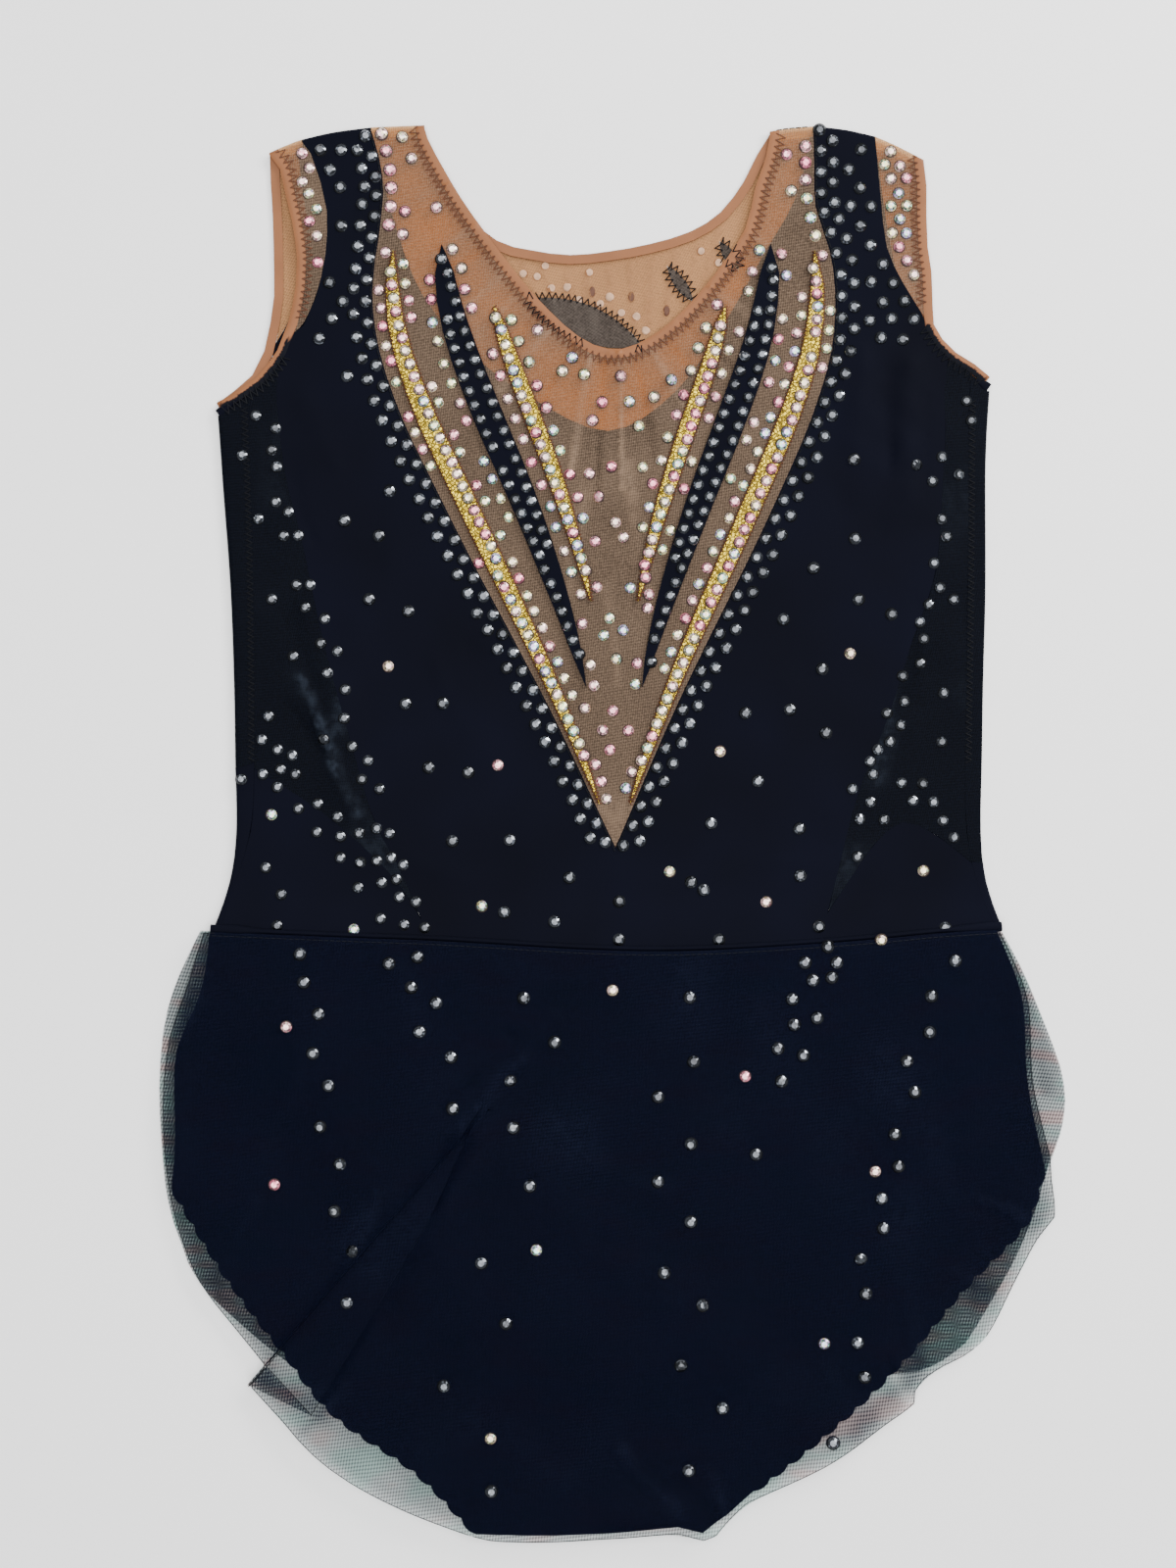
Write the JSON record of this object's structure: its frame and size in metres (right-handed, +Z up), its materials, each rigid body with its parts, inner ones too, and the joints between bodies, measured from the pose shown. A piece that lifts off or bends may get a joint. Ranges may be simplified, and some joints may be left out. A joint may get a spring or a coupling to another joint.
{
  "type": "rhythmic gymnastics leotard",
  "caption": "Sleeveless skirted gymnastics leotard laid flat: navy stretch cloth, nude mesh V with tapered gold and navy stripes, sheer skirt with a fold, and rhinestones.",
  "frame": {"origin": "centre of the laid garment's outline, on the surface that it lies on", "axes": "+Y towards the neck, +Z up out of the garment's front, +X to the wearer's left side"},
  "size_m": [0.3696, 0.576, 0.0107],
  "materials": {
    "navy_jersey": "matt navy stretch jersey",
    "nude_mesh": "fine nude stretch mesh",
    "black_mesh": "fine black stretch mesh",
    "satin_binding": "folded satin elastic",
    "gold_foil": "crackled metallic foil cloth",
    "skirt_opaque": "matt navy stretch cloth",
    "skirt_sheer": "sheer navy stretch mesh",
    "thread": "sewing thread",
    "crystal": "foil-backed faceted crystal"
  },
  "bodies": {
    "root": {"front_body": "navy_jersey", "back_body": "navy_jersey", "front_yoke": "nude_mesh", "back_yoke": "nude_mesh", "back_leaf_large": "navy_jersey", "back_leaf_middle": "navy_jersey", "back_leaf_small": "navy_jersey", "front_arm_mesh_left": "nude_mesh", "front_arm_mesh_right": "nude_mesh", "back_arm_mesh_left": "nude_mesh", "back_arm_mesh_right": "nude_mesh", "front_side_mesh_left": "black_mesh", "front_side_mesh_right": "black_mesh", "back_side_mesh_left": "black_mesh", "back_side_mesh_right": "black_mesh", "neck_binding": "satin_binding", "armhole_binding_left": "satin_binding", "armhole_binding_right": "satin_binding", "gold_long_left": "gold_foil", "gold_long_right": "gold_foil", "gold_short_left": "gold_foil", "gold_short_right": "gold_foil", "navy_long_left": "navy_jersey", "navy_long_right": "navy_jersey", "skirt_under": "skirt_opaque", "skirt_front": "skirt_sheer", "skirt_back": "skirt_sheer"}
  },
  "joints": []
}
